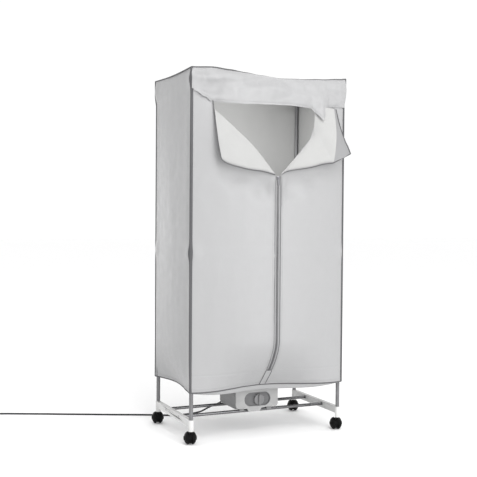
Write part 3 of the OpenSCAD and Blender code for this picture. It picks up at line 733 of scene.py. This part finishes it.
flap_left = grid(
    "flap_left",
    ruled(lambda t: curve_point(FOLD[-1], t), left_outer, 44, 22, 0.004, 51.0),
    (0, -1, 0),
    lambda p: (p.x * 0.7 + p.z * 0.7, p.z * 0.7 - p.x * 0.7),
    (LINING, FABRIC),
)
place(flap_left, "door_left_body", "cover_fabric")
flap_right = grid(
    "flap_right",
    ruled(lambda t: curve_point(FOLD[1], t), right_middle, 44, 22, 0.006, 53.0),
    (0, -1, 0),
    lambda p: (p.x * 0.7 - p.z * 0.7, p.z * 0.7 + p.x * 0.7),
    (LINING, FABRIC),
)
place(flap_right, "door_right_body", "cover_fabric")
# The tip's outer face uses the darker copy of the cloth, painted shade for the fold.
flap_tip = grid(
    "flap_right_tip",
    ruled(lambda t: curve_point(CREASE, t), lambda t: curve_point(RIGHT_RIM, t), 26, 10, 0.002, 57.0),
    (0, -1, 0),
    lambda p: (p.x * 0.7 - p.z * 0.7, p.z * 0.7 + p.x * 0.7),
    (SHADED_TIP_CLOTH, LINING),
)
place(flap_tip, "door_right_body", "cover_fabric")

# ---- Valance ----


def valance_point(x, t):
    """t 0 at the hem and 1 at the top edge."""
    tip = max(0.0, 1 - abs(x - 0.2065) / 0.043)
    low, high = along_table(VALANCE_HEM, x) - 0.052 * tip, along_table(TOP_EDGE, x) - 0.001
    z = low + (high - low) * t
    calm = ease((HALF_W - abs(x)) / 0.03) * ease((1 - t) / 0.12)
    gathers = 0.0022 * ripple(x, z, 61.0, (60, 10)) * ease((t - 0.35) / 0.4)
    puff = 0.004 * math.sin(math.pi * t) + 0.016 * ripple(x, z, 63.0, (9, 19))
    puff += 0.006 * ripple(x, z, 65.0, (24, 30))
    puff -= 0.007 * math.exp(-(((z - 1.405) / 0.014) ** 2)) * ease((0.1 - x) / 0.3)
    left = math.exp(-(((x + 0.265) / 0.06) ** 2))
    puff += left * 0.014 * math.exp(-(((z - 1.415) / 0.022) ** 2))
    puff -= left * 0.012 * math.exp(-(((z - 1.372) / 0.022) ** 2))
    tip *= 0.026 * (1 - t)
    return Vector((
        x,
        -HALF_D - FRONT_BULGE * math.cos(math.pi * x / (2 * HALF_W)) * fullness(z) - 0.0045 * (1 - t)
        - 0.0012 - calm * (puff + gathers) - pressed(HALF_W - abs(x) - POST_IN_X, z) - tip,
        z,
    ))


valance = grid(
    "valance_panel",
    [[valance_point(x, t) for x in steps(-HALF_W - 0.001, HALF_W + 0.001, 110)] for t in steps(0, 1, 22)],
    (0, -1, 0),
    lambda p: (p.x, p.z),
)
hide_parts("valance")
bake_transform(valance)

# ---- Edges: piping, corner binding and stitches ----


def corner_line(sx, sy):
    return [
        Vector((
            sx * (HALF_W + 0.0006), sy * (HALF_D + 0.0006), squeeze(z, top_z(sx * HALF_W, sy * HALF_D)),
        ))
        for z in steps(HEM, COVER_TOP, 60)
    ]


def front_hem(x, z=HEM):
    return front_point(x, z)


def back_hem(x, z=HEM):
    return Vector((x, HALF_D + front_out(x, z, 11.0), z))


def side_hem(side, y, z=HEM):
    return Vector((side * (HALF_W + side_out(y, z, 3.0 + side)), y, z))


X_STEPS, Y_STEPS = steps(-HALF_W, HALF_W, 60), steps(-HALF_D, HALF_D, 40)
PIPING = {
    "piping_and_shadow_front_left": corner_line(-1, -1),
    "piping_front_right": corner_line(1, -1),
    "piping_back_left": corner_line(-1, 1),
    "piping_back_right": corner_line(1, 1),
    "piping_top_front": [Vector((x, -HALF_D - 0.001, top_z(x, -HALF_D) + 0.0008)) for x in X_STEPS],
    "piping_top_back": [Vector((x, HALF_D + 0.001, top_z(x, HALF_D) + 0.0005)) for x in X_STEPS],
    "piping_top_left": [Vector((-HALF_W - 0.001, y, top_z(-HALF_W, y) + 0.0005)) for y in Y_STEPS],
    "piping_top_right": [Vector((HALF_W + 0.001, y, top_z(HALF_W, y) + 0.0005)) for y in Y_STEPS],
    "piping_hem_front": [front_hem(x) for x in X_STEPS],
    "piping_hem_back": [back_hem(x) for x in X_STEPS],
    "piping_hem_left": [side_hem(-1, y) for y in Y_STEPS],
    "piping_hem_right": [side_hem(1, y) for y in Y_STEPS],
}
# The front-left piping is drawn thicker than the rest: the real dark piping plus a painted shadow along that
# corner.
for name, line in PIPING.items():
    radius = 0.0029 if name == "piping_and_shadow_front_left" else 0.0024
    place(cord_line(name, line, radius, BINDING, 4), "rack", "cover_fabric")

# The front-left binding reaches further onto the side than the right one: the real binding plus a painted
# shadow on the side cloth by the corner.
for side, label, wide in ((-1, "left", 0.0115), (1, "right", 0.006)):
    rows = []
    for z in HEIGHTS:
        height = squeeze(z, top_z(side * HALF_W, -HALF_D))
        on_side = [
            Vector((side * (HALF_W + side_out(y, z, 3.0 + side) + 0.0007), y, height))
            for y in steps(-HALF_D + wide, -HALF_D, 3)
        ]
        on_front = [
            Vector((side * (HALF_W - d), -HALF_D - front_out(side * (HALF_W - d), z) - 0.0012, height))
            for d in steps(0.0, 0.0055, 2)
        ]
        rows.append(on_side + on_front)
    binding = grid(
        f"binding_front_{label}", rows, (side, -1, 0), lambda p: (p.x - p.y, p.z), (BINDING,), 0.0006
    )
    place(binding, "rack", "cover_fabric")


def stitch_run(points, outward, length=0.0032, gap=0.0016, radius=0.00038):
    """Small raised stitches along points; outward is a vector, or a function of a point."""
    verts, faces = [], []
    at = 0.0
    walked = 0.0
    for a, b in zip(points, points[1:]):
        span = (b - a).length
        if span < 1e-6:
            continue
        ahead = (b - a) / span
        while at <= walked + span:
            middle = a + ahead * (at - walked)
            out = Vector(outward(middle) if callable(outward) else outward)
            out = (out - ahead * out.dot(ahead)).normalized()
            aside = ahead.cross(out)
            base = len(verts)
            for reach, lift in ((-0.5, -0.2), (-0.3, 0.9), (0.3, 0.9), (0.5, -0.2)):
                for s in (-1, 1):
                    verts.append(
                        middle + ahead * reach * length + out * lift * radius + aside * s * radius
                    )
            for k in (0, 2, 4):
                faces.append((base + k, base + k + 1, base + k + 3, base + k + 2))
            for k in (0, 1):
                faces.append((base + k, base + 2 + k, base + 4 + k, base + 6 + k))
            at += length + gap
        walked += span
    return verts, faces


def stitches(name, runs, body):
    verts, faces = [], []
    for points, outward in runs:
        add_part(verts, faces, *stitch_run(points, outward))
    return place(piece(name, verts, faces, [THREAD]), body, "zip_tape")


LIFT = 0.0004
inner_x = steps(-HALF_W + 0.006, HALF_W - 0.006, 80)
inner_y = steps(-HALF_D + 0.006, HALF_D - 0.006, 50)
stitches(
    "stitches_cover",
    [
        ([front_hem(x, HEM + 0.0125) + Vector((0, -LIFT, 0)) for x in inner_x], (0, -1, 0)),
        ([back_hem(x, HEM + 0.0125) + Vector((0, LIFT, 0)) for x in inner_x], (0, 1, 0)),
        ([side_hem(-1, y, HEM + 0.0125) + Vector((-LIFT, 0, 0)) for y in inner_y], (-1, 0, 0)),
        ([side_hem(1, y, HEM + 0.0125) + Vector((LIFT, 0, 0)) for y in inner_y], (1, 0, 0)),
    ],
    "rack",
)
stitches(
    "stitches_valance",
    [([valance_point(x, 0.075) + Vector((0, -0.0005, 0)) for x in inner_x[3:-3]], (0, -1, 0))],
    "valance_body",
)

# ---- Zip: tapes, moulded teeth, and the open halves along the folded flaps ----

PITCH = 0.0028
# Across the tape, and half the tooth's length along it
TOOTH = ((0.0026, 0.00085), (0.0010, 0.00085), (-0.0006, 0.00115), (-0.0014, 0.0007))


def tooth_run(points, aside, outward, shift=0.0):
    """Moulded teeth along points, each reaching from the tape towards -aside."""
    verts, faces = [], []
    walked, at = 0.0, shift
    for a, b in zip(points, points[1:]):
        span = (b - a).length
        if span < 1e-6:
            continue
        ahead = (b - a) / span
        while at <= walked + span:
            middle = a + ahead * (at - walked)
            side_way = Vector(aside(middle) if callable(aside) else aside)
            side_way = (side_way - ahead * side_way.dot(ahead)).normalized()
            out = side_way.cross(ahead)
            if out.dot(Vector(outward)) < 0:
                out = -out
            base = len(verts)
            for across, half in TOOTH:
                for lift in (-0.0010, 0.0010):
                    squeeze_in = 0.8 if lift > 0 else 1.0
                    for s in (-1, 1):
                        verts.append(
                            middle + side_way * across + out * lift + ahead * s * half * squeeze_in
                        )
            for k in (0, 4, 8):
                for i, j in ((0, 1), (1, 3), (3, 2), (2, 0)):
                    faces.append((base + k + i, base + k + j, base + k + 4 + j, base + k + 4 + i))
            faces.append((base, base + 2, base + 3, base + 1))
            faces.append((base + 12, base + 13, base + 15, base + 14))
            at += PITCH
        walked += span
    return verts, faces


def zip_line(x, z, back=0.0):
    below = max(0.0, (FRONT_TUCK_Z - z) / FRONT_TUCK_SPAN)
    return Vector((x, -HALF_D - FRONT_BULGE * fullness(z) + FRONT_TUCK * below ** 1.6 + back, z))


ZIP_Z = steps(SEAM_Z + 0.003, SLIDER_Z, 70)
for side, label in ((-1, "left"), (1, "right")):
    body = f"door_{label}_body"
    tape = grid(
        f"zip_tape_{label}",
        [[zip_line(side * x, z, 0.0016) for x in (0.0022, 0.009, 0.019)] for z in ZIP_Z],
        (0, -1, 0), lambda p: (p.x, p.z), (TAPE,), 0.0006,
    )
    place(tape, body, "zip_tape", [f"zip_{label}"])
    closed_z = ZIP_Z if side < 0 else [z for z in ZIP_Z if z < SLIDER_Z - 0.012]
    closed = [zip_line(side * 0.0014, z, 0.0) for z in closed_z]
    verts, faces = tooth_run(closed, (side, 0, 0), (0, -1, 0), PITCH / 2 if side > 0 else 0.0)
    rim = [curve_point(ZIP_RIM[side], t) for t in steps(0.02, 1, 60)]
    rim = [p + Vector((0, -0.001, -0.0012)) for p in rim]
    add_part(verts, faces, *tooth_run(rim, (0, 0, 1), (0, -1, 0)))
    teeth = piece(f"zip_teeth_{label}", verts, faces, [TEETH], smooth=False)
    place(teeth, body, "zip_tape")
    band = [p + Vector((0, -0.0014, 0.0042)) for p in rim]
    place(cord_line(f"open_edge_{label}", band, 0.0009, TAPE, 3), body, "zip_tape")
    runs = []
    for beyond in (0.0035, 0.0095):
        run = [front_point(side * (ZIP_EDGE + beyond), z) for z in ZIP_Z]
        run = [p + Vector((0, -LIFT - door_wrinkle(p.x, p.z, side), 0)) for p in run]
        runs.append((run, (0, -1, 0)))
    # A thin dark cord along each door's zip edge: partly the door's edge, partly a painted shadow where it
    # meets the tape.
    door_edge = [zip_line(side * ZIP_EDGE, z, -0.0004) for z in ZIP_Z]
    place(cord_line(f"zip_edge_{label}", door_edge, 0.0007, BINDING, 3), body, "zip_tape")
    edge_run = [p + Vector((0, -0.0030, 0.008)) for p in rim[6:-4]]
    stitches(f"stitches_zip_{label}", runs + [(edge_run, (0, -1, 0))], body)

for label, points, radius in (("left", LEFT_RIM, 0.0014), ("right", RIGHT_RIM, 0.0024)):
    rim = [curve_point(points, t) + Vector((0, -0.0006, 0)) for t in steps(0, 1, 40)]
    rim_binding = cord_line(f"rim_binding_{label}", rim, radius, BINDING, 3)
    place(rim_binding, f"door_{label}_body", "cover_fabric")
tip_rim = [Vector(CREASE[0]).lerp(Vector(RIGHT_RIM[0]), t) for t in steps(0, 1, 12)]
place(cord_line("rim_binding_tip", tip_rim, 0.0018, BINDING, 3), "door_right_body", "cover_fabric")
stop = [zip_line(x, SEAM_Z + 0.004, -0.0022) for x in (-0.006, 0.006)]
place(cord_line("zip_bottom_stop", stop, 0.0024, TEETH, 4), "rack", "zip_metal")
guard = grid(
    "zip_guard",
    [
        [front_point(x, z) + Vector((0, -0.0009, 0)) for x in (-0.014, -0.005, 0.005, 0.014)]
        for z in steps(HEM + 0.003, SEAM_Z - 0.001, 8)
    ],
    (0, -1, 0), lambda p: (p.x, p.z), (FABRIC,), 0.0006,
)
place(guard, "rack", "cover_fabric")
for side, label in ((-1, "left"), (1, "right")):
    line = [
        front_point(side * 0.013, z) + Vector((0, -0.0016, 0))
        for z in steps(HEM + 0.003, SEAM_Z - 0.001, 12)
    ]
    place(cord_line(f"guard_edge_{label}", line, 0.0011, BINDING, 3), "rack", "zip_tape")

# ---- Hard parts: softened edges on the frame's own meshes ----


def soften(node, width, segments=2, angle=32):
    weld = node.modifiers.new("weld", "WELD")
    weld.merge_threshold = 0.00002
    bevel = node.modifiers.new("edges", "BEVEL")
    bevel.width = width
    bevel.segments = segments
    bevel.limit_method = "ANGLE"
    bevel.angle_limit = math.radians(angle)
    bevel.harden_normals = True
    node.data.polygons.foreach_set("use_smooth", [True] * len(node.data.polygons))


for name, width in (
    ("base_left_frame", 0.0022), ("base_right_frame", 0.0022), ("mid_connectors", 0.0012),
    ("top_connectors", 0.0012), ("rail_clips", 0.0008), ("heater_lower_case", 0.0008),
    ("heater_upper_case", 0.0012), ("zip_slider", 0.0004), ("zip_pull", 0.0003), ("plug", 0.0008),
    ("strain_relief", 0.0004), ("timer_unit", 0.001), ("fan_motor", 0.001), ("base_screws", 0.0003),
):
    soften(NODE[name], width)

# ---- Casters: domed twin wheels on each axle ----

TURN = math.radians(12)
WHEEL = [
    (0.0066, 0.0036), (0.0066, 0.0236), (0.0074, 0.0247), (0.0095, 0.0249),
    (0.0110, 0.0246), (0.0114, 0.0241), (0.0120, 0.0240), (0.0124, 0.0242),
    (0.0142, 0.0232), (0.0146, 0.0226), (0.0152, 0.0224), (0.0156, 0.0225),
    (0.0178, 0.0204), (0.0198, 0.0178), (0.0215, 0.0148), (0.0226, 0.0120),
    (0.0231, 0.0104), (0.0228, 0.0098), (0.0230, 0.0090), (0.0246, 0.0086),
    (0.0254, 0.0076), (0.0256, 0.0050), (0.0253, 0.0042), (0.0253, 0.0006),
]
FENDER = [
    (-0.0061, 0.0005), (-0.0061, 0.0196), (-0.0052, 0.0207), (0.0, 0.0209), (0.0052, 0.0207),
    (0.0061, 0.0196), (0.0061, 0.0005),
]


def lathe(profile, centre, axis, turns=64):
    """Rings of a profile of (along the axis, radius), closed at both ends."""
    axis = Vector(axis).normalized()
    one = axis.orthogonal().normalized()
    two = axis.cross(one)
    verts, faces = [], []
    for s, r in profile:
        for k in range(turns):
            a = 2 * math.pi * k / turns
            verts.append(Vector(centre) + axis * s + (one * math.cos(a) + two * math.sin(a)) * r)
    for i in range(len(profile) - 1):
        for k in range(turns):
            j = (k + 1) % turns
            faces.append((i * turns + k, i * turns + j, (i + 1) * turns + j, (i + 1) * turns + k))
    faces.append(tuple(range(turns - 1, -1, -1)))
    last = (len(profile) - 1) * turns
    faces.append(tuple(range(last, last + turns)))
    return verts, faces


def lathed(name, parts, material):
    verts, faces = [], []
    for part_verts, part_faces in parts:
        add_part(verts, faces, part_verts, part_faces)
    return piece(name, verts, faces, [material])


for corner in ("fl", "fr", "rl", "rr"):
    low_corner, high_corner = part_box(f"caster_{corner}_wheels")
    centre = (Vector(low_corner) + Vector(high_corner)) / 2
    axle_way = Vector((math.cos(TURN), -math.sin(TURN), 0))
    pair = [lathe(WHEEL, centre, axle_way * way) for way in (1, -1)]
    wheels = lathed(f"wheels_{corner}", pair, MATERIALS["caster_wheel"])
    place(wheels, f"wheelset_{corner}", "caster_wheel", [f"caster_{corner}_wheels"])
    fender = lathed(f"fender_{corner}", [lathe(FENDER, centre, axle_way)], MATERIALS["caster_plastic"])
    place(fender, f"caster_{corner}", "caster_plastic")
    soften(NODE[f"caster_{corner}_housing"], 0.0012, 3)

# ---- Heater: marks on the dial, and softened front edges ----

DIAL = Vector((0.008, 0, 0.135))
MARK_R, MARK_HALF_WIDTH, MARK_HEIGHT = 0.0238, 0.0004, 0.0003
marks_v, marks_f = [], []
for k in range(13):
    angle = math.radians(225 - 270 * k / 12)
    long_mark = 0.0042 if k % 3 == 0 else 0.0026
    way = Vector((math.cos(angle), 0, math.sin(angle)))
    aside = Vector((-way.z, 0, way.x))
    base = len(marks_v)
    for depth in (0.0, -MARK_HEIGHT):
        for reach in (MARK_R, MARK_R + long_mark * 0.55):
            for s in (-1, 1):
                sideways = aside * s * MARK_HALF_WIDTH
                marks_v.append(DIAL + way * reach + sideways + Vector((0, depth, 0)))
    marks_f += [(base + 4, base + 5, base + 7, base + 6), (base, base + 2, base + 3, base + 1)]
    marks_f += [(base, base + 1, base + 5, base + 4), (base + 2, base + 6, base + 7, base + 3)]
    marks_f += [(base, base + 4, base + 6, base + 2), (base + 1, base + 3, base + 7, base + 5)]
dish_front = Vector((0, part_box("control_bezel")[0][1] - 0.0001, 0))
marks = piece("dial_marks", [v + dish_front for v in marks_v], marks_f, [LINING], smooth=False)
place(marks, "rack", "heater_panel")
for name, width in (("heater_front_panel", 0.0022), ("control_bezel", 0.0012), ("timer_knob", 0.0012)):
    soften(NODE[name], width, 3)

# ---- Floor of the studio ----

floor = piece(
    "studio_floor",
    [(-30, -30, 0), (30, -30, 0), (30, 30, 0), (-30, 30, 0)],
    [(0, 1, 2, 3)],
    [moulded("studio_floor", (0.965, 0.965, 0.965), 0.85, 40, 0.0, 0.0, 0.0)],
    smooth=False,
)
